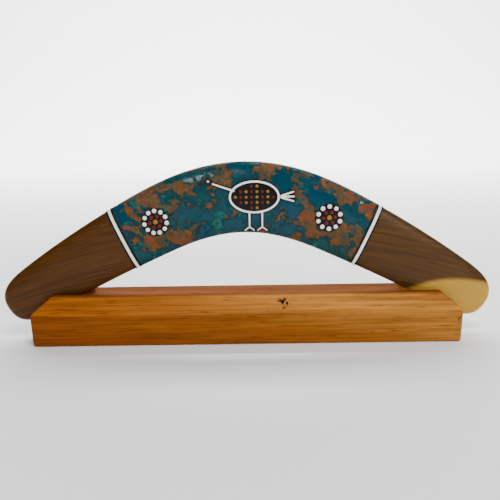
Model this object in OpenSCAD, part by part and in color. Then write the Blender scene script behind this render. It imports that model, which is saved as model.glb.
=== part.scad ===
// A bent wooden throwing wing, painted across its middle, that stands on edge
// in the two end slots of its own wooden display block.
// Millimetres, +Z up, painted face towards -Y.
// Origin: the middle of the block's underside.

/* [Wing] */
// Length of each arm from the middle to its tip, along the wing's middle line
arm_length = 219.5; // [195:0.5:235]
// Width of the wing at the middle of the bend
middle_width = 55.8; // [50:0.2:62]
// How much narrower each arm is where its round tip starts
arm_taper = 6.8; // [2:0.2:10]
// Slope that each arm has at the end of the bend, in degrees
bend_angle = 26.8; // [24:0.2:30]
// Length of wing over which each half bends
bend_length = 92; // [80:1:110]
// Further droop of each arm past the bend, in degrees per 100 mm
arm_droop = 5.4; // [3:0.2:7]
// How far the front face swells in front of the wing's middle plane
front_swell = 6.1; // [4:0.1:6.1]
// How far the back face swells behind the wing's middle plane
back_swell = 5.3; // [3:0.1:6]
// Share of its thickness that the wing keeps at the tips
tip_thickness = 0.84; // [0.7:0.02:1]

/* [Stand] */
// Length of the block
stand_length = 342; // [330:1:360]
// Depth of the block, front to back
stand_depth = 48; // [44:1:60]
// Height of the block
stand_height = 38.5; // [36:0.5:42]
// Chamfer along the top of the front and the back
long_chamfer = 11.8; // [2:0.2:14]
// Length of the chamfer at each end of the top
end_chamfer = 14.4; // [2:0.2:20]
// Width of the slot at each end
slot_width = 13; // [12.8:0.1:16]
// Length of each slot, from the end of the block to its round inner end
slot_length = 46; // [46:1:60]
// Height of the slots' floor above the underside
slot_floor = 14; // [11:0.5:16]

/* [Paint] */
// Reach of the coloured band from the middle, along the wing
band_reach = 100.4; // [92:0.2:104]
// Width of each thin black border line
black_line = 1.5; // [0.8:0.1:2]
// Width of each white border line
white_line = 2.4; // [2:0.1:4]
// Thickness of the coloured band
band_coat = 0.3; // [0.2:0.05:0.5]
// Thickness of the black paint under the figures
ground_coat = 0.2; // [0.15:0.05:0.4]
// Height of the raised lines and dots above the black paint
raised_coat = 0.4; // [0.2:0.05:0.8]
// Radius of the ring of white dots in each round flower
flower_ring = 8.9; // [8:0.1:10]

/* [Hidden] */

wood_tone = [0.34, 0.21, 0.10];
pine_tone = [0.66, 0.40, 0.13];
band_tone = [0.02, 0.30, 0.33];
white_tone = [0.92, 0.90, 0.86];
black_tone = [0.03, 0.03, 0.03];
red_tone = [0.42, 0.10, 0.08];
gold_tone = [0.66, 0.47, 0.08];

seat_gap = 0.4;        // air between the wing's lowest edge and the slots' floor
section_lean = 0.86;   // share of the slope by which the cross-sections lean
edge_fullness = 2.5;   // 2 is an ellipse, more is flatter faces and fuller edges
taper_power = 1.86;    // how late the arm narrows
tip_length = 89;       // stretch of arm over which the tip's outline closes
tip_power = 11.3;      // how late it closes within that stretch
tip_round = 6;         // stretch over which the thickness closes at the tip
band_steps = 14;       // sections from the middle to the border lines
arm_steps = 24;        // sections from the border lines to the tip
ring = 24;             // points round each section
past = 1;              // overshoot of a cut past the face it opens

// ---- the wing's shape -------------------------------------------------------

border_end = band_reach + 2*black_line + white_line;
band_edge = band_steps;
tip = band_steps + 3 + arm_steps;

// Distances of the cross-sections from the middle, along one arm
stations = concat(
    [for (i = [0:band_steps]) band_reach*i/band_steps],
    [band_reach + black_line, band_reach + black_line + white_line, border_end],
    [for (i = [1:arm_steps]) border_end + (arm_length - border_end)*sin(90*i/arm_steps)]
);

function slope(s) =
    bend_angle*sin(90*min(s/bend_length, 1)) + arm_droop*max(s - bend_length, 0)/100;

function step_to(i) =
    let (a = slope((stations[i] + stations[i - 1])/2))
    (stations[i] - stations[i - 1])*[cos(a), -sin(a)];

// The middle line of one arm, as x and height below the middle of the bend
middle_line = [
    for (i = 0, p = [0, 0]; i <= tip; i = i + 1, p = i <= tip ? p + step_to(i) : p) p
];

function half_width(s) =
    let (closing = max(s - arm_length + tip_length, 0)/tip_length)
    (middle_width/2 - arm_taper/2*pow(s/(arm_length - tip_length), taper_power))
    *sqrt(max(1 - pow(closing, tip_power), 0));

function thickness_share(s) =
    let (closing = max(s - arm_length + tip_round, 0)/tip_round)
    (1 - (1 - tip_thickness)*s/arm_length)*sqrt(max(1 - closing*closing, 0));

// A point of section i, which is negative on the left arm: turn 0 is the outer edge,
// 90 the front face, 180 the inner edge and 270 the back. grow moves it outwards.
function full(c) = sign(c)*pow(abs(c), 2/edge_fullness);
function section_point(i, turn, grow) =
    let (
        s = stations[abs(i)],
        m = middle_line[abs(i)],
        lean = section_lean*slope(s),
        across = (half_width(s) + grow)*full(cos(turn)),
        swell = turn < 180 ? front_swell : back_swell
    )
    [
        sign(i)*(m[0] + across*sin(lean)),
        -(swell*thickness_share(s) + grow)*full(sin(turn)),
        m[1] + across*cos(lean)
    ];

function section(i, grow) = [for (k = [0:ring - 1]) section_point(i, 360*k/ring, grow)];

// The wing stands so that its lowest edge just clears the floor of the slots
lowest = min([for (i = [0:tip]) section_point(i, 180, 0)[2]]);
wing_height = slot_floor + seat_gap - lowest;

// The two triangles between neighbouring points k of rings r and r + 1
function pair(r, k, inward) =
    let (a = r*ring + k, b = r*ring + (k + 1)%ring, c = b + ring, d = a + ring)
    inward ? [[a, b, c], [a, c, d]] : [[a, c, b], [a, d, c]];

function join_rings(first, last, inward) =
    [for (r = [first:last - 1], k = [0:ring - 1], f = pair(r, k, inward)) f];

// The whole wing, closed by a point at each tip
module wing_solid() {
    rings = 2*tip - 1;
    points = concat(
        [for (i = [1 - tip:tip - 1]) each section(i, 0)],
        [section_point(-tip, 0, 0), section_point(tip, 0, 0)]
    );
    left_tip = rings*ring;
    caps = [
        for (k = [0:ring - 1])
        let (n = (k + 1)%ring, r = (rings - 1)*ring)
        each [[left_tip, k, n], [left_tip + 1, r + n, r + k]]
    ];
    polyhedron(points, concat(join_rings(0, rings - 1, false), caps), convexity = 8);
}

// A coat of paint round the wing, from section i to section j, between two heights
module coat(i, j, from, to) {
    rings = j - i + 1;
    points = concat(
        [for (n = [i:j]) each section(n, to)],
        [for (n = [i:j]) each section(n, from)]
    );
    inner = rings*ring;
    ends = [
        for (k = [0:ring - 1], e = [[0, false], [(rings - 1)*ring, true]])
        let (a = e[0] + k, b = e[0] + (k + 1)%ring)
        each (e[1] ? [[a, b + inner, b], [a, a + inner, b + inner]]
                   : [[a, b, b + inner], [a, b + inner, a + inner]])
    ];
    faces = concat(
        join_rings(0, rings - 1, false),
        join_rings(rings, 2*rings - 1, true),
        ends
    );
    polyhedron(points, faces, convexity = 8);
}

module place_wing() { translate([0, 0, wing_height]) children(); }

// Paint in the outline of the flat shapes given, on the front of the band
module painted(from, to) {
    place_wing()
    resize([0, 0, 0])
    intersection() {
        rotate([90, 0, 0]) linear_extrude(front_swell + 4) children();
        coat(-band_edge, band_edge, from, to);
    }
}
module ground_layer() { painted(band_coat, band_coat + ground_coat) children(); }
module raised_layer() {
    painted(band_coat + ground_coat, band_coat + ground_coat + raised_coat) children();
}

// ---- curves and strokes, in the plane of the wing ---------------------------

// The direction across a path at its point i
function across_at(p, i) =
    let (t = p[min(i + 1, len(p) - 1)] - p[max(i - 1, 0)])
    [-t[1], t[0]]/norm(t);

// A brush stroke along a path, as wide as r at its start and r_end at its end
module stroke(p, r, r_end) {
    e = len(p) - 1;
    wide = [for (i = [0:e]) r + (r_end - r)*i/e];
    polygon(concat(
        [for (i = [0:e]) p[i] + across_at(p, i)*wide[i]],
        [for (i = [e:-1:0]) p[i] - across_at(p, i)*wide[i]]
    ));
    translate(p[0]) circle(wide[0], $fn = 8);
    translate(p[e]) circle(wide[e], $fn = 8);
}
module dot(at, r) { translate(at) circle(r, $fn = 10); }

// ---- the stand --------------------------------------------------------------

module stand_block() {
    end_outline = [
        [-stand_depth/2, 0],
        [stand_depth/2, 0],
        [stand_depth/2, stand_height - long_chamfer],
        [stand_depth/2 - long_chamfer, stand_height],
        [long_chamfer - stand_depth/2, stand_height],
        [-stand_depth/2, stand_height - long_chamfer]
    ];
    front_outline = [
        [-stand_length/2, 0],
        [stand_length/2, 0],
        [stand_length/2, stand_height - long_chamfer],
        [stand_length/2 - end_chamfer, stand_height],
        [end_chamfer - stand_length/2, stand_height],
        [-stand_length/2, stand_height - long_chamfer]
    ];
    color(pine_tone)
    difference() {
        intersection() {
            rotate([90, 0, 90]) linear_extrude(stand_length, center = true) polygon(end_outline);
            rotate([90, 0, 0]) linear_extrude(stand_depth, center = true) polygon(front_outline);
        }
        for (side = [-1, 1]) end_slot(side);
    }
}

// One open-ended slot, with a half-round inner end
module end_slot(side) {
    round_at = stand_length/2 - slot_length + slot_width/2;
    depth = stand_height - slot_floor + past;
    translate([side*round_at, 0, slot_floor]) cylinder(depth, d = slot_width, $fn = 48);
    translate([side > 0 ? round_at : -stand_length/2 - past, -slot_width/2, slot_floor])
        cube([stand_length/2 + past - round_at, slot_width, depth]);
}

// ---- the wing and its band --------------------------------------------------

module wing_blank() { color(wood_tone) place_wing() wing_solid(); }

module colour_band() {
    color(band_tone) place_wing() coat(-band_edge, band_edge, 0, band_coat);
}

// A border line on both arms, between two sections counted from the band's edge
module border_line(first, last, height) {
    coat(band_edge + first, band_edge + last, 0, height);
    coat(-band_edge - last, -band_edge - first, 0, height);
}
module white_border_lines() {
    color(white_tone) place_wing() border_line(1, 2, band_coat + ground_coat);
}
module black_border_lines() {
    color(black_tone) place_wing() {
        border_line(0, 1, band_coat + ground_coat/2);
        border_line(2, 3, band_coat + ground_coat/2);
    }
}

// ---- the two round flowers --------------------------------------------------

// Each flower: its middle, from the middle of the bend, its number of white dots, and
// the direction of its first white dot and of its first red one
flowers = [[[-70, -17.6], 11, -5, 12], [[66.5, -16.3], 10, 17, 4]];
flower_margin = 2.4;     // black paint past the ring of white dots
white_dot = 1.85;        // radius of a white dot
red_ring = 4.6;
red_dot = 1.55;
red_count = 6;
gold_dot = 2.1;

module ring_of_dots(at, count, first, ring_radius, r) {
    for (k = [0:count - 1])
        let (a = first + 360*k/count)
        dot(at + ring_radius*[cos(a), sin(a)], r);
}
module flower_grounds() {
    color(black_tone) ground_layer()
        for (f = flowers) translate(f[0]) circle(flower_ring + flower_margin, $fn = 28);
}
module flower_white_dots() {
    color(white_tone) raised_layer()
        for (f = flowers) ring_of_dots(f[0], f[1], f[2], flower_ring, white_dot);
}
module flower_red_dots() {
    color(red_tone) raised_layer()
        for (f = flowers) ring_of_dots(f[0], red_count, f[3], red_ring, red_dot);
}
module flower_gold_centres() {
    color(gold_tone) raised_layer()
        for (f = flowers) dot(f[0], gold_dot);
}

// ---- a plain standing bird --------------------------------------------------

line_half = 0.8;         // half the width of the white lines
halo = 1;                // black paint round each white line
body_at = [8, 1];        // middle of the oval body, from the middle of the bend
body_reach = [19, 12];   // half the length and half the height of the body
head_at = [-27, 13];
head_radius = 3;
leg_length = 12;
foot_length = 4.5;
spot = 1.2;              // radius of a spot on the body
spot_step = 4.2;         // distance from spot to spot
spot_margin = 3.3;       // clear space between the outline and the middles of the spots

body_outline = [for (a = [0:10:350]) body_at + [body_reach.x*cos(a), body_reach.y*sin(a)]];

// The middles of the spots: even rows, as far as they fit inside the body
columns = [for (k = [-3.5:1:3.5]) k*spot_step];
rows = [for (k = [-2:2]) k*spot_step];
function fits(p) = pow(p.x/(body_reach.x - spot_margin), 2)
                   + pow(p.y/(body_reach.y - spot_margin), 2) <= 1;

module bird_body() {
    difference() {
        offset(delta = line_half) polygon(body_outline);
        offset(delta = -line_half) polygon(body_outline);
    }
}
module bird_neck() {
    stroke([body_at + [-body_reach.x + 3, 5], head_at + [head_radius, -1.5]], line_half, 0.6);
}
module bird_tail() {
    for (a = [-18, 0, 18])
        stroke([body_at + [body_reach.x, 0] + 2*[cos(a), sin(a)],
                body_at + [body_reach.x, 0] + 12*[cos(a), sin(a)]], line_half, 0.6);
}
module bird_legs() {
    for (x = [-4, 6]) {
        hip = body_at + [x, -body_reach.y];
        ankle = hip - [0, leg_length];
        stroke([hip, ankle], 0.7, 0.6);
        for (turn = [-1, 1]) stroke([ankle, ankle + foot_length*[turn*0.8, -0.6]], 0.6, 0.5);
    }
}
module bird_whites() {
    bird_body();
    bird_neck();
    bird_tail();
    bird_legs();
    dot(head_at + [-0.5, 0.5], 0.9);
}
module head_and_beak() {
    translate(head_at) circle(head_radius, $fn = 20);
    hull() {
        translate(head_at - [head_radius/2, 0]) circle(1.5, $fn = 12);
        translate(head_at - [8, 2]) circle(0.6, $fn = 8);
    }
}
// Every second column of spots is of one colour
module spots(odd) {
    for (i = [0:len(columns) - 1], y = rows)
        if (i % 2 == odd && fits([columns[i], y])) dot(body_at + [columns[i], y], spot);
}

module emu_ground() {
    color(black_tone) ground_layer() {
        polygon(body_outline);
        head_and_beak();
        offset(delta = halo) bird_whites();
    }
}
module emu_white_lines() { color(white_tone) raised_layer() bird_whites(); }
module emu_red_feathers() { color(red_tone) raised_layer() spots(1); }
module emu_gold_feathers() { color(gold_tone) raised_layer() spots(0); }

stand_block();
wing_blank();
colour_band();
white_border_lines();
black_border_lines();
flower_grounds();
flower_white_dots();
flower_red_dots();
flower_gold_centres();
emu_ground();
emu_white_lines();
emu_red_feathers();
emu_gold_feathers();
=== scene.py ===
# %% [markdown]
# # A painted boomerang on its display block
#
# The real thing is two pieces of wood: a bent wing, carved from hardwood and painted across its
# middle, and a pine block with a slot at each end, in which the wing stands on edge. The packed
# model already holds both at their true size, with every coat of paint as a solid of its own.
# This script loads that model as a fixed frame and gives each piece its finished surface: the
# smooth carved faces, the rounded edges of the block, the domed dots of paint, and the woods,
# the sponged colours and the lacquer. Everything is in metres.

# %% Load the frame
import math
import random

import bpy
import numpy as np
from mathutils import Euler, Matrix, Vector


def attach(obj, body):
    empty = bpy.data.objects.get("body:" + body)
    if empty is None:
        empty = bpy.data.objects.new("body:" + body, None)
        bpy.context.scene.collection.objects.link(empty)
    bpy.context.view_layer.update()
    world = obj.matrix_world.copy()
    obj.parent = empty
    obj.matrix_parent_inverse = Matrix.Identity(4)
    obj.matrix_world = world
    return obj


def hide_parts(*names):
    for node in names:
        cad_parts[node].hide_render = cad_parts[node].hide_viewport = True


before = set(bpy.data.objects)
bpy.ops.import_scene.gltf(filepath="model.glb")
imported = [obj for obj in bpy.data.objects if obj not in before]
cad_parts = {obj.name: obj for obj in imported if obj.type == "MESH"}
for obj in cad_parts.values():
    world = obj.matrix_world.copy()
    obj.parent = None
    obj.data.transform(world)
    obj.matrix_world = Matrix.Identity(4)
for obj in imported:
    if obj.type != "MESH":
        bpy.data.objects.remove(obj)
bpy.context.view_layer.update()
MM = 0.001
random.seed(7)

# %% [markdown]
# ## The camera
#
# It stands a little above the middle of the wing and looks down at about fourteen degrees, from
# some forty centimetres away, with the lens of a phone. It leans by one degree, so the block rises
# slightly towards the right.

# %% The camera
EYE = Vector((7.2, -391.8, 172.8)) * MM
PITCH, YAW, ROLL = (math.radians(a) for a in (14.45, 0.48, -0.99))

camera_data = bpy.data.cameras.new("camera")
camera_data.sensor_width = 36.0
camera_data.lens = 36.0
camera = bpy.data.objects.new("camera", camera_data)
bpy.context.scene.collection.objects.link(camera)
turn = Euler((math.pi / 2 - PITCH, 0, YAW)).to_matrix() @ Matrix.Rotation(ROLL, 3, "Z")
camera.matrix_world = Matrix.Translation(EYE) @ turn.to_4x4()
bpy.context.scene.camera = camera
print("camera", round((EYE - Vector((0, 0, 0.08))).length, 3), "m from the wing")

# %% [markdown]
# ## Tools for the bench
#
# A few short helpers do what a person does by hand in the window: pick one piece, work on its
# mesh in edit mode, add a modifier and apply it. A CAD node's own mesh is never touched, so a
# piece that needs refining starts as a copy, with its loose triangles merged into one skin.


# %% Helpers for meshes
def pick(*pieces):
    """Selects only these pieces, and makes the first one active."""
    bpy.ops.object.select_all(action="DESELECT")
    for piece in pieces:
        piece.select_set(True)
    bpy.context.view_layer.objects.active = pieces[0]


def merged_copy(node, name):
    """A copy of a CAD node under a new name, with its doubled corners merged."""
    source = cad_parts[node]
    piece = bpy.data.objects.new(name, source.data.copy())
    bpy.context.scene.collection.objects.link(piece)
    pick(piece)
    bpy.ops.object.mode_set(mode="EDIT")
    bpy.ops.mesh.select_all(action="SELECT")
    bpy.ops.mesh.remove_doubles(threshold=0.002 * MM)
    bpy.ops.object.mode_set(mode="OBJECT")
    piece.data.materials.clear()
    return piece


def apply_modifier(piece, kind, **settings):
    """Adds one modifier to the piece with these settings, and applies it."""
    modifier = piece.modifiers.new(kind.lower(), kind)
    for key, value in settings.items():
        setattr(modifier, key, value)
    pick(piece)
    bpy.ops.object.modifier_apply(modifier=modifier.name)


def triangles(piece):
    piece.data.calc_loop_triangles()
    return len(piece.data.loop_triangles)


def stand_for(piece, node, body, material):
    """Hangs the finished piece on its body, in place of the CAD node that it stands for."""
    piece.data.materials.append(material)
    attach(piece, body)
    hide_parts(node)
    print(piece.name, triangles(piece), "triangles")


# %% [markdown]
# ## Shared effects
#
# Several finishes need the same things: wood needs long streaks, and both the sponged paint and
# the raised lines need the slight unevenness of lacquer laid on by brush. Each is a node group,
# built once and placed in each material with its own values.


# %% Helpers for materials
def socket(group, name, kind, is_output=False, default=None):
    way = "OUTPUT" if is_output else "INPUT"
    made = group.interface.new_socket(name=name, in_out=way, socket_type="NodeSocket" + kind)
    if default is not None:
        made.default_value = default
    return made


class Board:
    """A node tree with short calls to add a node and to join its sockets."""

    def __init__(self, tree):
        self.tree = tree

    def add(self, kind, inputs=(), **settings):
        node = self.tree.nodes.new(kind)
        for key, value in settings.items():
            setattr(node, key, value)
        for key, value in dict(inputs).items():
            if isinstance(value, bpy.types.NodeSocket):
                self.tree.links.new(value, node.inputs[key])
            else:
                node.inputs[key].default_value = value
        return node

    def place(self, coordinates, scale, shift=(0, 0, 0)):
        """The coordinates moved and stretched."""
        return self.add("ShaderNodeMapping", {"Vector": coordinates, "Scale": scale,
                                              "Location": shift}).outputs["Vector"]

    def noise(self, at, scale, detail, rough):
        return self.add("ShaderNodeTexNoise", {"Vector": at, "Scale": scale, "Detail": detail,
                        "Roughness": rough}).outputs["Fac"]

    def ramp(self, factor, *stops, ease="LINEAR"):
        """A colour ramp. Each stop is a place and a colour or a grey value."""
        node = self.add("ShaderNodeValToRGB", {"Fac": factor})
        node.color_ramp.interpolation = ease
        points = node.color_ramp.elements
        while len(points) < len(stops):
            points.new(0.5)
        for point, (place, colour) in zip(points, stops):
            grey = isinstance(colour, (int, float))
            point.position = place
            point.color = (colour, colour, colour, 1) if grey else (*colour, 1)
        return node.outputs["Color"]

    def mix(self, factor, a, b, blend="MIX"):
        node = self.add("ShaderNodeMix", data_type="RGBA", blend_type=blend)
        for index, value in ((0, factor), (6, a), (7, b)):
            if isinstance(value, bpy.types.NodeSocket):
                self.tree.links.new(value, node.inputs[index])
            elif index == 0:
                node.inputs[index].default_value = value
            else:
                node.inputs[index].default_value = (*value, 1)
        return node.outputs[2]

    def rise(self, value, start, width):
        """Climbs from 0 to 1 while the value passes from start to start + width."""
        climb = self.math("MULTIPLY_ADD", value, 1 / width, -start / width)
        return self.ramp(climb, (0.0, 0.0), (1.0, 1.0))

    def math(self, operation, a, b=0.0, c=0.0):
        node = self.add("ShaderNodeMath", operation=operation)
        for index, value in enumerate((a, b, c)):
            if isinstance(value, bpy.types.NodeSocket):
                self.tree.links.new(value, node.inputs[index])
            else:
                node.inputs[index].default_value = value
        return node.outputs[0]


def new_material(name):
    """A material with its board and its Principled shader."""
    material = bpy.data.materials.new(name)
    material.use_nodes = True
    board = Board(material.node_tree)
    shader = material.node_tree.nodes["Principled BSDF"]
    return material, board, shader


def object_coordinates(board):
    return board.add("ShaderNodeTexCoord").outputs["Object"]


# %% [markdown]
# ### Wood grain, as a group
#
# Sawn wood shows its yearly rings as long wavy lines. Between them lie short dark dashes, where
# resin or pores were cut open, and the finest streaks follow both. Noise that is stretched along
# the board gives all of them. In the wing the lines follow an arch, so the group adds the square
# of the distance from the middle to the height, and the lines fall away on both sides.


# %% The wood grain group
def make_wood_grain():
    group = bpy.data.node_groups.new("wood_grain", "ShaderNodeTree")
    socket(group, "Vector", "Vector")
    socket(group, "Line Spacing", "Float", default=90.0)
    socket(group, "Wave", "Float", default=0.5)
    socket(group, "Arch", "Float", default=0.0)
    for name in ("Streaks", "Fine", "Dashes", "Broad", "Height"):
        socket(group, name, "Float", True)
    board = Board(group)
    inside = board.add("NodeGroupInput")
    whole = board.add("ShaderNodeSeparateXYZ", {"Vector": inside.outputs["Vector"]})
    far = board.math("MULTIPLY", whole.outputs["X"], whole.outputs["X"])
    level = board.math("MULTIPLY_ADD", far, inside.outputs["Arch"], whole.outputs["Z"])
    laid = board.add("ShaderNodeCombineXYZ", {"X": whole.outputs["X"], "Y": whole.outputs["Y"],
                                              "Z": level}).outputs["Vector"]
    broad = board.noise(board.place(laid, (3.0, 22, 22)), 1.6, 3, 0.5)
    bend = board.math("MULTIPLY", broad, inside.outputs["Wave"])
    depth = board.math("MULTIPLY_ADD", whole.outputs["Y"], 0.7, level)
    phase = board.math("MULTIPLY_ADD", depth, inside.outputs["Line Spacing"], bend)
    line_at = board.add("ShaderNodeCombineXYZ", {"X": whole.outputs["X"], "Y": phase, "Z": 0.0})
    lines = board.noise(board.place(line_at.outputs["Vector"], (4.0, 1, 1)), 1.0, 4, 0.6)
    streaks = board.ramp(lines, (0.34, 1.0), (0.62, 0.0))
    fine = board.noise(board.place(laid, (20, 640, 640)), 1.0, 4, 0.62)
    dash_noise = board.noise(board.place(laid, (62, 760, 760)), 1.0, 3, 0.55)
    dashes = board.ramp(dash_noise, (0.61, 0.0), (0.69, 1.0))
    height = board.math("MULTIPLY_ADD", dashes, -0.7, fine)
    board.add("NodeGroupOutput", {"Streaks": streaks, "Fine": fine, "Dashes": dashes,
                                  "Broad": broad, "Height": height})
    return group


wood_grain = make_wood_grain()
print("wood grain group with", len(wood_grain.nodes), "nodes")


# %% [markdown]
# ### Lacquer, as a group
#
# Clear lacquer pools and dries with a faint orange-peel skin. The group gives its height, a mix
# of slow waves and small ripples, and a patchy roughness.


# %% The lacquer group
def make_lacquer_skin():
    group = bpy.data.node_groups.new("lacquer_skin", "ShaderNodeTree")
    socket(group, "Vector", "Vector")
    socket(group, "Ripple Scale", "Float", default=300.0)
    socket(group, "Height", "Float", True)
    socket(group, "Patches", "Float", True)
    board = Board(group)
    inside = board.add("NodeGroupInput")
    slow = board.noise(inside.outputs["Vector"], 45, 2, 0.5)
    ripple = board.add("ShaderNodeTexNoise", {"Vector": inside.outputs["Vector"],
                       "Scale": inside.outputs["Ripple Scale"], "Detail": 2.0})
    height = board.math("MULTIPLY_ADD", slow, 1.5, ripple.outputs["Fac"])
    patches = board.ramp(board.noise(inside.outputs["Vector"], 28, 4, 0.6), (0.35, 0.0), (0.65, 1.0))
    board.add("NodeGroupOutput", {"Height": height, "Patches": patches})
    return group


lacquer_skin = make_lacquer_skin()
print("lacquer group with", len(lacquer_skin.nodes), "nodes")

# %% [markdown]
# ## The wing
#
# The maker saws the bent outline from a board, then rasps and sands both faces until they swell
# gently and every edge is round. The CAD solid has flat facets, so its copy is turned back into
# four-sided faces and given a subdivision surface. Such a surface shrinks away from its corner
# points, so the points are first pushed out by as much as the surface would fall short of them.

# %% Smooth carved skins
SMOOTH_LEVELS = 2
SHARP_EDGE = math.radians(60)


def smooth_skin(piece, levels):
    """Turns a faceted skin into a smooth one through the same points, with sharp rims kept."""
    pick(piece)
    bpy.ops.object.mode_set(mode="EDIT")
    bpy.ops.mesh.select_all(action="SELECT")
    bpy.ops.mesh.tris_convert_to_quads(face_threshold=0.9, shape_threshold=1.2)
    bpy.ops.mesh.select_all(action="DESELECT")
    bpy.ops.mesh.select_mode(type="EDGE")
    bpy.ops.mesh.edges_select_sharp(sharpness=SHARP_EDGE)
    bpy.ops.transform.edge_crease(value=1.0)
    bpy.ops.object.mode_set(mode="OBJECT")
    count = len(piece.data.vertices)
    goal = np.empty(count * 3)
    piece.data.vertices.foreach_get("co", goal)
    points = goal.copy()
    rounding = piece.modifiers.new("rounding", "SUBSURF")
    rounding.levels = rounding.render_levels = levels
    for _ in range(4):
        piece.data.vertices.foreach_set("co", points)
        piece.data.update()
        skin = piece.evaluated_get(bpy.context.evaluated_depsgraph_get()).to_mesh()
        reached = np.empty(len(skin.vertices) * 3)
        skin.vertices.foreach_get("co", reached)
        points += goal - reached[:count * 3]
    short = np.abs(goal - reached[:count * 3]).max()
    pick(piece)
    bpy.ops.object.modifier_apply(modifier=rounding.name)
    bpy.ops.object.shade_smooth_by_angle(angle=SHARP_EDGE)
    print(piece.name, "misses its points by at most", round(short / MM, 3), "mm")


wing = merged_copy("wing_blank", "carved_wing")
smooth_skin(wing, SMOOTH_LEVELS)


# %% [markdown]
# ### Oiled hardwood
#
# The wood is dark brown and silky with oil, with darker streaks that follow a flat arch through
# both arms. The left arm is a deeper, redder brown than the right. The right arm's lighter, greyer
# brown is partly the wood's own tone and partly painted sheen, for the light that falls from the
# right. At the right tip the saw met sapwood, which is cream yellow and starts at a soft, nearly
# level line.


# %% The wing's wood
LEFT_BROWN = (0.080, 0.027, 0.001)
# the right arm's brown is lighter and greyer than the left, partly painted sheen
RIGHT_BROWN_WITH_SHEEN = (0.088, 0.041, 0.010)
DEEP_BROWN = (0.045, 0.015, 0.001)
SAP_YELLOW = (0.47, 0.265, 0.036)
SAP_SHADE = (0.33, 0.165, 0.018)
SAP_TOP = 0.0488
SAP_CROWN = 0.168
SAP_BEND = 5.4
SAP_FROM = 0.12
SAP_FADE_IN = 1 / 90
SAP_SOFT_EDGE = 5 * MM
PORE_DEPTH = 0.2 * MM
OIL_SHINE = 0.16


def make_oiled_wood():
    material, board, shader = new_material("oiled_wood")
    at = object_coordinates(board)
    grain = board.add("ShaderNodeGroup", {"Vector": board.place(at, (1, 1, 1), (0.0, 0.0, 0.02)),
                      "Line Spacing": 560.0, "Wave": 8.0, "Arch": 0.9}, node_tree=wood_grain)
    split = board.add("ShaderNodeSeparateXYZ", {"Vector": at})
    # 0 near the left tip, 1 near the right one; towards the right it adds painted sheen
    painted_light_to_right = board.math("MULTIPLY_ADD", split.outputs["X"], 3.0, 0.5)
    base = board.mix(painted_light_to_right, LEFT_BROWN, RIGHT_BROWN_WITH_SHEEN)
    patches = board.ramp(grain.outputs["Broad"], (0.38, 0.0), (0.66, 1.0))
    base = board.mix(board.math("MULTIPLY", patches, 0.25), base, DEEP_BROWN)
    streaky = board.mix(board.math("MULTIPLY", grain.outputs["Streaks"], 0.36), base, DEEP_BROWN)
    # the sapwood, below a flat arch near the right tip
    from_crown = board.math("SUBTRACT", split.outputs["X"], SAP_CROWN)
    fall = board.math("MULTIPLY", board.math("MULTIPLY", from_crown, from_crown), SAP_BEND)
    wobble = board.math("MULTIPLY_ADD", grain.outputs["Broad"], 0.008, -0.004)
    border = board.math("SUBTRACT", board.math("SUBTRACT", SAP_TOP, fall), wobble)
    under_border = board.math("SUBTRACT", border, split.outputs["Z"])
    below = board.math("MULTIPLY", under_border, 1 / SAP_SOFT_EDGE)
    beyond = board.math("MULTIPLY_ADD", split.outputs["X"], 1 / SAP_FADE_IN,
                        -SAP_FROM / SAP_FADE_IN)
    inside = board.math("MINIMUM", below, beyond)
    sap = board.ramp(inside, (0.0, 0.0), (1.0, 1.0), ease="EASE")
    pale = board.mix(board.math("MULTIPLY", grain.outputs["Streaks"], 0.30), SAP_YELLOW, SAP_SHADE)
    colour = board.mix(sap, streaky, pale)
    fine = board.ramp(grain.outputs["Fine"], (0.36, 0.60), (0.60, 1.0))
    colour = board.mix(board.math("MULTIPLY_ADD", sap, -0.7, 1.0), colour, fine, "MULTIPLY")
    board.tree.links.new(colour, shader.inputs["Base Color"])
    rough = board.math("MULTIPLY_ADD", grain.outputs["Streaks"], 0.1, 0.33)
    board.tree.links.new(rough, shader.inputs["Roughness"])
    bump = board.add("ShaderNodeBump", {"Height": grain.outputs["Height"], "Strength": 0.2,
                                        "Distance": PORE_DEPTH})
    board.tree.links.new(bump.outputs["Normal"], shader.inputs["Normal"])
    shader.inputs["Specular IOR Level"].default_value = OIL_SHINE
    return material


oiled_wood = make_oiled_wood()
stand_for(wing, "wing_blank", "wing", oiled_wood)

# %% [markdown]
# ## The sponged band
#
# The middle of the wing is first painted dark teal, then dabbed with a sponge in rust, bright
# green, olive and blue, and finally covered in thick gloss lacquer. Where a colour was dabbed it
# stands proud, with torn edges, and the lacquer sparkles on those crumbs.

# %% The band's skin
band = merged_copy("colour_band", "sponged_band")
smooth_skin(band, SMOOTH_LEVELS)


# %% The sponged paint
MIDDLE_LINE_TOP = 0.1148
MIDDLE_LINE_FALL = 2.75
TEAL = (0.001, 0.042, 0.050)
SEA_BLUE = (0.001, 0.040, 0.066)
BRIGHT_GREEN = (0.001, 0.115, 0.090)
RUST = (0.200, 0.044, 0.001)
EARTH = (0.070, 0.034, 0.006)
OLIVE = (0.040, 0.050, 0.018)
DULL_GOLD = (0.210, 0.095, 0.004)
TORN_BY = 5 * MM
CRUST_DEPTH = 0.5 * MM
LACQUER_SHINE = 0.2


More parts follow.
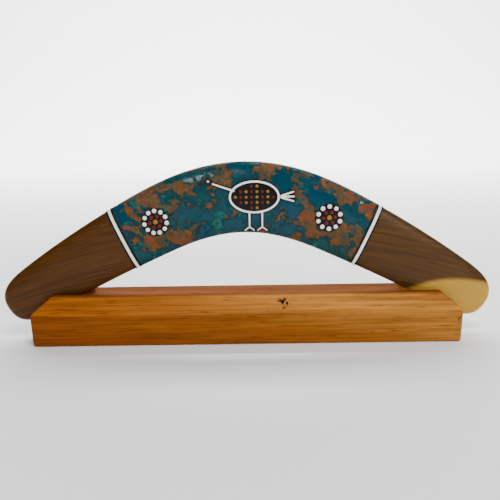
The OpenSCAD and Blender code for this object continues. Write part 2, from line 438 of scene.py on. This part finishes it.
def make_sponged_paint():
    material, board, shader = new_material("sponged_paint")
    at = object_coordinates(board)
    warp = board.add("ShaderNodeTexNoise", {"Vector": at, "Scale": 120.0, "Detail": 2.0})
    shifted = board.add("ShaderNodeVectorMath", operation="MULTIPLY_ADD")
    board.tree.links.new(warp.outputs["Color"], shifted.inputs[0])
    shifted.inputs[1].default_value = (TORN_BY, TORN_BY, TORN_BY)
    board.tree.links.new(at, shifted.inputs[2])
    torn = shifted.outputs[0]

    def dabs(shift, scale):
        """A field of sponge dabs. Its highest parts are the blotches."""
        return board.noise(board.place(torn, (1, 1, 1.1), shift), scale, 8, 0.66)

    slow = board.noise(at, 22, 2, 0.5)
    colour = board.mix(board.ramp(slow, (0.4, 0.0), (0.62, 1.0)), TEAL, SEA_BLUE)
    crumbs = board.noise(at, 480, 5, 0.68)
    holes = board.ramp(crumbs, (0.42, 0.0), (0.54, 1.0))
    green = board.ramp(dabs((0.31, 0.0, 0.12), 60), (0.54, 0.0), (0.60, 1.0))
    # the sponge was pressed hardest along the upper part of the band
    place = board.add("ShaderNodeSeparateXYZ", {"Vector": at})
    fall = board.math("MULTIPLY", board.math("MULTIPLY", place.outputs["X"], place.outputs["X"]),
                      MIDDLE_LINE_FALL)
    up = board.math("ADD", board.math("ADD", place.outputs["Z"], fall), -MIDDLE_LINE_TOP)
    pressed = board.ramp(board.math("MULTIPLY_ADD", up, 20.0, 0.5), (0.50, 0.0), (0.72, 1.0),
                         (0.90, 1.0), (1.0, 0.3))
    field = board.math("MULTIPLY_ADD", pressed, 0.035, dabs((0.05, 0.2, 0.43), 62))
    rim = board.ramp(field, (0.510, 0.0), (0.540, 1.0))
    rust = board.ramp(field, (0.545, 0.0), (0.575, 1.0))
    gold = board.ramp(dabs((0.15, 0.6, 0.71), 52), (0.56, 0.0), (0.64, 1.0))
    colour = board.mix(board.math("MULTIPLY", green, holes), colour, BRIGHT_GREEN)
    torn_rim = board.math("MULTIPLY", rim, board.math("MULTIPLY_ADD", holes, 0.5, 0.3))
    colour = board.mix(torn_rim, colour, OLIVE)
    brown = board.ramp(board.noise(torn, 105, 3, 0.6), (0.42, 0.0), (0.60, 1.0))
    dab_colour = board.mix(board.math("MULTIPLY", brown, 0.85), RUST, EARTH)
    dab_colour = board.mix(board.math("MULTIPLY", gold, 0.7), dab_colour, DULL_GOLD)
    patchy = board.math("MULTIPLY", rust, board.math("MULTIPLY_ADD", holes, 0.6, 0.35))
    colour = board.mix(patchy, colour, dab_colour)
    board.tree.links.new(colour, shader.inputs["Base Color"])
    lacquer = board.add("ShaderNodeGroup", {"Vector": at, "Ripple Scale": 420.0},
                        node_tree=lacquer_skin)
    dabbed = board.math("MAXIMUM", rim, green)
    rough = board.math("MULTIPLY_ADD", lacquer.outputs["Patches"], 0.05, 0.14)
    rough = board.math("MULTIPLY_ADD", dabbed, -0.04, rough)
    board.tree.links.new(rough, shader.inputs["Roughness"])
    crust = board.math("MULTIPLY", crumbs, board.math("MULTIPLY_ADD", dabbed, 1.9, 0.25))
    height = board.math("MULTIPLY_ADD", lacquer.outputs["Height"], 0.25, crust)
    height = board.math("MULTIPLY_ADD", dabbed, 0.35, height)
    bump = board.add("ShaderNodeBump", {"Height": height, "Strength": 1.0, "Distance": CRUST_DEPTH})
    board.tree.links.new(bump.outputs["Normal"], shader.inputs["Normal"])
    shader.inputs["Specular IOR Level"].default_value = LACQUER_SHINE
    return material


sponged_paint = make_sponged_paint()
stand_for(band, "colour_band", "wing", sponged_paint)


# %% [markdown]
# ## Brush paints
#
# The figures are drawn with a loaded brush and with the end of a stick, in white, black, dark red
# and ochre gold. Such paint is even in colour, a little thinner and darker where the brush ran
# out, and it lies under the same lacquer.


# %% The brush paints
BRUSH_MARK_DEPTH = 0.1 * MM


def make_brush_paint(name, colour, thin_colour, rough, streak):
    material, board, shader = new_material(name)
    at = object_coordinates(board)
    lacquer = board.add("ShaderNodeGroup", node_tree=lacquer_skin)
    board.tree.links.new(at, lacquer.inputs["Vector"])
    lacquer.inputs["Ripple Scale"].default_value = 700.0
    drag = board.noise(at, 1400, 2, 0.6)
    thin = board.math("MULTIPLY", board.ramp(drag, (0.42, 0.0), (0.75, 1.0)), streak)
    board.tree.links.new(board.mix(thin, colour, thin_colour), shader.inputs["Base Color"])
    board.tree.links.new(board.math("MULTIPLY_ADD", lacquer.outputs["Patches"], 0.1, rough),
                         shader.inputs["Roughness"])
    bump = board.add("ShaderNodeBump", {"Height": lacquer.outputs["Height"], "Strength": 0.3,
                                        "Distance": BRUSH_MARK_DEPTH})
    board.tree.links.new(bump.outputs["Normal"], shader.inputs["Normal"])
    shader.inputs["Specular IOR Level"].default_value = LACQUER_SHINE
    return material


white_paint = make_brush_paint("white_paint", (0.95, 0.91, 0.85), (0.72, 0.70, 0.66), 0.32, 0.4)
black_paint = make_brush_paint("black_paint", (0.001, 0.001, 0.001), (0.004, 0.006, 0.007), 0.25,
                               0.5)
red_paint = make_brush_paint("red_paint", (0.13, 0.010, 0.006), (0.07, 0.005, 0.003), 0.34, 0.6)
gold_paint = make_brush_paint("gold_paint", (0.30, 0.15, 0.012), (0.16, 0.08, 0.008), 0.34, 0.6)
print("brush paints: white, black, red, gold")

# %% [markdown]
# ## The border lines
#
# Three lines, black, white and black, go right round the wing at each end of the band. They are
# thin skins like the band, so they are smoothed in the same way.

# %% The border lines
white_lines = merged_copy("white_border_lines", "white_border")
smooth_skin(white_lines, SMOOTH_LEVELS)
stand_for(white_lines, "white_border_lines", "wing", white_paint)
black_lines = merged_copy("black_border_lines", "black_border")
smooth_skin(black_lines, SMOOTH_LEVELS)
stand_for(black_lines, "black_border_lines", "wing", black_paint)

# %% [markdown]
# ## Black grounds
#
# Under each figure lies a flat coat of black, a fifth of a millimetre thick. Its outline is the
# drawing's own, so the copy of the CAD solid only needs its loose triangles merged and its top
# shaded as one smooth surface.

# %% The black grounds
for node, name in (("flower_grounds", "flower_ground"), ("emu_ground", "bird_ground")):
    ground = merged_copy(node, name)
    pick(ground)
    bpy.ops.object.shade_smooth_by_angle(angle=math.radians(40))
    stand_for(ground, node, "wing", black_paint)

# %% [markdown]
# ## Raised lines
#
# A brush line of thick paint stands up with a round back. The CAD strokes have square edges, so
# the copy is remeshed into small even faces, and those are relaxed until the edges are round.

# %% The bird's raised lines
LINE_VOXEL = 0.16 * MM
bird_lines = merged_copy("emu_white_lines", "bird_white_lines")
apply_modifier(bird_lines, "REMESH", mode="VOXEL", voxel_size=LINE_VOXEL)
apply_modifier(bird_lines, "SMOOTH", factor=0.5, iterations=3)
pick(bird_lines)
bpy.ops.object.shade_smooth()
stand_for(bird_lines, "emu_white_lines", "wing", white_paint)

# %% [markdown]
# ## Dots
#
# A dot is made by touching the wood once with the flat end of a stick dipped in paint. The paint
# draws itself into a low dome. One dome is modelled: a sphere, cut in half and flattened. It is
# then copied to the place, size and tilt of each dot of the CAD model, each a little different.
# The flowers' dots and the spots on the bird's body are all made in this way.


# %% The domed dots
DOT_SUNK = 0.25 * MM
WHITE_DOME, RED_DOME, GOLD_DOME, SPOT_DOME = (h * MM for h in (0.9, 0.7, 0.8, 0.6))


def loose_dots(node):
    """Middle, radius and outward direction of each separate dot of a CAD node."""
    parts = merged_copy(node, "dots_to_measure")
    pick(parts)
    bpy.ops.mesh.separate(type="LOOSE")
    found = []
    for part in list(bpy.context.selected_objects):
        corners = np.array([v.co for v in part.data.vertices])
        middle = (corners.min(0) + corners.max(0)) / 2
        radius = (np.ptp(corners[:, 0]) + np.ptp(corners[:, 2])) / 4
        area = np.zeros(3)
        for face in part.data.polygons:
            if face.normal.y < -0.5:
                area += np.array(face.normal) * face.area
        found.append((Vector(middle), radius, Vector(area).normalized()))
        bpy.data.objects.remove(part)
    return sorted(found, key=lambda dot: (dot[0].x, dot[0].z))


def make_dome(name):
    """A dome of radius 1 and height 1 that stands on its flat side, towards +Z."""
    bpy.ops.object.select_all(action="DESELECT")
    bpy.ops.mesh.primitive_uv_sphere_add(segments=24, ring_count=12, radius=1)
    dome = bpy.context.active_object
    dome.name = name
    bpy.ops.object.mode_set(mode="EDIT")
    bpy.ops.mesh.select_all(action="SELECT")
    bpy.ops.mesh.bisect(plane_co=(0, 0, 0), plane_no=(0, 0, 1), clear_inner=True, use_fill=True)
    bpy.ops.object.mode_set(mode="OBJECT")
    bpy.ops.object.shade_smooth_by_angle(angle=math.radians(50))
    return dome


def domed_dots(node, name, height, material):
    dome = make_dome(name + "_pattern")
    copies = []
    for middle, radius, outward in loose_dots(node):
        dot = bpy.data.objects.new(name, dome.data.copy())
        bpy.context.scene.collection.objects.link(dot)
        wide = radius * random.uniform(0.97, 1.05)
        size = Matrix.Diagonal((wide, wide * random.uniform(0.95, 1.0), height, 1))
        tilt = outward.to_track_quat("Z", "Y").to_matrix().to_4x4()
        spin = Matrix.Rotation(random.uniform(0, math.pi), 4, "Z")
        foot = middle - outward * DOT_SUNK
        dot.data.transform(Matrix.Translation(foot) @ tilt @ spin @ size)
        copies.append(dot)
    bpy.data.objects.remove(dome)
    pick(*copies)
    bpy.ops.object.join()
    dots = bpy.context.active_object
    dots.name = name
    stand_for(dots, node, "wing", material)


domed_dots("flower_white_dots", "white_dots", WHITE_DOME, white_paint)
domed_dots("flower_red_dots", "red_dots", RED_DOME, red_paint)
domed_dots("flower_gold_centres", "gold_centres", GOLD_DOME, gold_paint)
domed_dots("emu_red_feathers", "bird_red_spots", SPOT_DOME, red_paint)
domed_dots("emu_gold_feathers", "bird_gold_spots", SPOT_DOME, gold_paint)

# %% [markdown]
# ## The display block
#
# The block is planed pine with a wide chamfer round its top and every edge eased with sandpaper.
# A bevel of two millimetres with four segments does the easing on the copy of the CAD
# block, on its outer edges only. The edges of the slots stay nearly as sharp as the saw left them.

# %% The block
EASED = 2.0 * MM
SLOT_HALF = 8 * MM
block = merged_copy("stand_block", "display_block")


def bevel_edges(piece, wanted, width, segments):
    """Bevels the sharp edges of the piece whose two ends both pass the test."""
    pick(piece)
    bpy.ops.object.mode_set(mode="EDIT")
    bpy.ops.mesh.select_mode(type="EDGE")
    bpy.ops.mesh.select_all(action="DESELECT")
    bpy.ops.mesh.edges_select_sharp(sharpness=math.radians(20))
    bpy.ops.object.mode_set(mode="OBJECT")
    points = piece.data.vertices
    for edge in piece.data.edges:
        a, b = (points[i].co for i in edge.vertices)
        edge.select = edge.select and wanted(a, b)
    count = sum(edge.select for edge in piece.data.edges)
    bpy.ops.object.mode_set(mode="EDIT")
    bpy.ops.mesh.bevel(offset=width, segments=segments, profile=0.5, clamp_overlap=True)
    bpy.ops.object.mode_set(mode="OBJECT")
    print("eased", count, "edges by", round(width / MM, 1), "mm")


def outer_edge(a, b):
    """True for an edge of the block that is not part of a slot."""
    middle = (a + b) / 2
    return abs(middle.y) > SLOT_HALF


pick(block)
bpy.ops.object.mode_set(mode="EDIT")
bpy.ops.mesh.select_all(action="SELECT")
bpy.ops.mesh.dissolve_limited(angle_limit=math.radians(1))
bpy.ops.object.mode_set(mode="OBJECT")
bevel_edges(block, outer_edge, EASED, 4)
pick(block)
bpy.ops.object.shade_smooth_by_angle(angle=math.radians(35))


# %% [markdown]
# ### Varnished pine
#
# Pine has pale early wood and orange late wood, in lines along the block, and the varnish warms
# it all. The faces show long straight lines and short dark dashes of resin. A cluster of dark
# chips marks a knot on the front chamfer, and another lies at the right end of the front. The
# sawn top is redder and duller than the planed faces. The left half is painted darker than the
# right, as painted shade for the light that falls from the right, and the chamfer is painted
# paler than the front, as painted light from the lamp above.


# %% The pine
# the left colours are painted shade and the right ones painted light; the pale pair is painted light
# on the chamfer
PINE_SHADED_LEFT = (0.220, 0.055, 0.004)
PINE_LIT_RIGHT = (0.490, 0.205, 0.034)
PINE_TOP = (0.190, 0.070, 0.018)
PINE_CHAMFER_LIT_LEFT = (0.54, 0.150, 0.010)
PINE_CHAMFER_LIT_RIGHT = (0.98, 0.460, 0.085)
PINE_LATE = (0.180, 0.034, 0.002)
RESIN = (0.040, 0.007, 0.001)
KNOT_BROWN = (0.010, 0.002, 0.001)
# the middle of each knot and its reach along the three axes
KNOTS = [
    ((0.030, -0.0185, 0.033), (0.0065, 0.006, 0.006)),
    ((0.1695, -0.024, 0.0205), (0.0035, 0.005, 0.0075)),
]
CHAMFER_FOOT, CHAMFER_BLEND = 25.6 * MM, 2 * MM
TOP_FROM, TOP_BLEND = 37.4 * MM, 1 * MM
VARNISH_SHINE = 0.03


def make_varnished_pine():
    material, board, shader = new_material("varnished_pine")
    at = object_coordinates(board)
    grain = board.add("ShaderNodeGroup", {"Vector": board.place(at, (1, 1, 1), (0.1, 0.3, 0.05)),
                      "Line Spacing": 230.0, "Wave": 3.0}, node_tree=wood_grain)
    split = board.add("ShaderNodeSeparateXYZ", {"Vector": at})
    # 0 near the left end, 1 near the right one: painted shade on the left, painted light on the
    # right
    painted_light_to_right = board.math("MULTIPLY_ADD", split.outputs["X"], 2.6, 0.5)
    base = board.mix(painted_light_to_right, PINE_SHADED_LEFT, PINE_LIT_RIGHT)
    # the chamfer is painted paler than the front, as painted light from the lamp above
    on_chamfer = board.rise(split.outputs["Z"], CHAMFER_FOOT, CHAMFER_BLEND)
    chamfer_lit_colour = board.mix(painted_light_to_right, PINE_CHAMFER_LIT_LEFT, PINE_CHAMFER_LIT_RIGHT)
    base = board.mix(board.math("MULTIPLY", on_chamfer, 0.5), base, chamfer_lit_colour)
    on_top = board.rise(split.outputs["Z"], TOP_FROM, TOP_BLEND)
    base = board.mix(on_top, base, PINE_TOP)
    warm = board.ramp(grain.outputs["Broad"], (0.36, 0.0), (0.64, 1.0))
    base = board.mix(board.math("MULTIPLY", warm, 0.55), base, PINE_LATE)
    colour = board.mix(board.math("MULTIPLY", grain.outputs["Streaks"], 0.45), base, PINE_LATE)
    colour = board.mix(board.math("MULTIPLY", grain.outputs["Dashes"], 0.55), colour, RESIN)
    fine = board.ramp(grain.outputs["Fine"], (0.36, 0.66), (0.60, 1.0))
    colour = board.mix(1.0, colour, fine, "MULTIPLY")
    chips = board.ramp(board.noise(at, 330, 3, 0.6), (0.50, 0.0), (0.54, 1.0))
    for middle, reach in KNOTS:
        apart = board.add("ShaderNodeVectorMath", {0: at, 1: middle}, operation="SUBTRACT")
        flat = board.place(apart.outputs[0], (1 / reach[0], 1 / reach[1], 1 / reach[2]))
        away = board.add("ShaderNodeVectorMath", {0: flat}, operation="LENGTH").outputs["Value"]
        near = board.ramp(away, (0.55, 1.0), (1.0, 0.0))
        colour = board.mix(board.math("MULTIPLY", near, chips), colour, KNOT_BROWN)
    board.tree.links.new(colour, shader.inputs["Base Color"])
    rough = board.math("MULTIPLY_ADD", grain.outputs["Streaks"], 0.12, 0.40)
    board.tree.links.new(board.math("MULTIPLY_ADD", on_top, 0.4, rough),
                         shader.inputs["Roughness"])
    bump = board.add("ShaderNodeBump", {"Height": grain.outputs["Height"], "Strength": 0.25,
                                        "Distance": PORE_DEPTH})
    board.tree.links.new(bump.outputs["Normal"], shader.inputs["Normal"])
    shader.inputs["Specular IOR Level"].default_value = VARNISH_SHINE
    return material


varnished_pine = make_varnished_pine()
stand_for(block, "stand_block", "stand", varnished_pine)

# %% [markdown]
# ## Floor and light
#
# The object stands on a wide sheet of pale card, which curves up into a wall behind it and hides
# the horizon. The wall and the floor before it have their own long lamps, so the background is
# nearly white while the room in front stays dim, and dark woods and deep colours keep their depth.
# A square lamp hangs over the object and a little in front. Two small low lamps stand in front,
# one on each side, and light the painted face and put the sparkle on its lacquer.

# %% The sweep
FLOOR_SIZE = 30
WALL_AT = 3.3
WALL_HEIGHT = 4
SWEEP_CURVE = 1.6
CURVE_STEPS = 24
bpy.ops.object.select_all(action="DESELECT")
bpy.ops.mesh.primitive_plane_add(size=FLOOR_SIZE, location=(0, WALL_AT - FLOOR_SIZE / 2, 0))
floor = bpy.context.active_object
floor.name = "floor"
bpy.ops.object.transform_apply(location=True)
bpy.ops.object.mode_set(mode="EDIT")
bpy.ops.mesh.select_mode(type="EDGE")
bpy.ops.mesh.select_all(action="DESELECT")
bpy.ops.object.mode_set(mode="OBJECT")
for edge in floor.data.edges:
    edge.select = all(floor.data.vertices[i].co.y > WALL_AT / 2 for i in edge.vertices)
bpy.ops.object.mode_set(mode="EDIT")
bpy.ops.mesh.extrude_region_move(TRANSFORM_OT_translate={"value": (0, 0, WALL_HEIGHT)})
bpy.ops.mesh.select_all(action="DESELECT")
bpy.ops.mesh.edges_select_sharp(sharpness=math.radians(30))
bpy.ops.mesh.bevel(offset=SWEEP_CURVE, segments=CURVE_STEPS, profile=0.5)
bpy.ops.object.mode_set(mode="OBJECT")
bpy.ops.object.shade_smooth()
floor_paint, floor_board, floor_shader = new_material("floor_paint")
floor_shader.inputs["Base Color"].default_value = (0.86, 0.86, 0.86, 1)
floor_shader.inputs["Roughness"].default_value = 0.9
floor_shader.inputs["Specular IOR Level"].default_value = 0.1
floor.data.materials.append(floor_paint)


# %% The lights
SKY_STRENGTH = 0.09


def soft_light(name, place, aim, size, power):
    data = bpy.data.lights.new(name, "AREA")
    data.shape = "RECTANGLE"
    data.size, data.size_y = size
    data.energy = power
    light = bpy.data.objects.new(name, data)
    light.location = place
    light.rotation_euler = (Vector(aim) - Vector(place)).to_track_quat("-Z", "Y").to_euler()
    bpy.context.scene.collection.objects.link(light)


soft_light("key_lamp", (0.22, -0.36, 1.00), (0, 0, 0.06), (0.30, 0.30), 7.0)
soft_light("left_lamp", (-0.30, -1.20, 0.52), (0, 0, 0.10), (0.12, 0.04), 5.4)
soft_light("right_lamp", (0.72, -1.12, 0.52), (0, 0, 0.10), (0.16, 0.04), 6.6)
soft_light("floor_lamp", (0, 1.7, 1.0), (0, 1.7, 0), (4, 1.2), 55)
soft_light("wall_lamp", (0, 1.3, 2.2), (0, 3.3, 0.5), (5, 0.5), 420)
sky = bpy.data.worlds.new("sky")
bpy.context.scene.world = sky
sky.use_nodes = True
sky.node_tree.nodes["Background"].inputs["Color"].default_value = (1, 1, 1, 1)
sky.node_tree.nodes["Background"].inputs["Strength"].default_value = SKY_STRENGTH
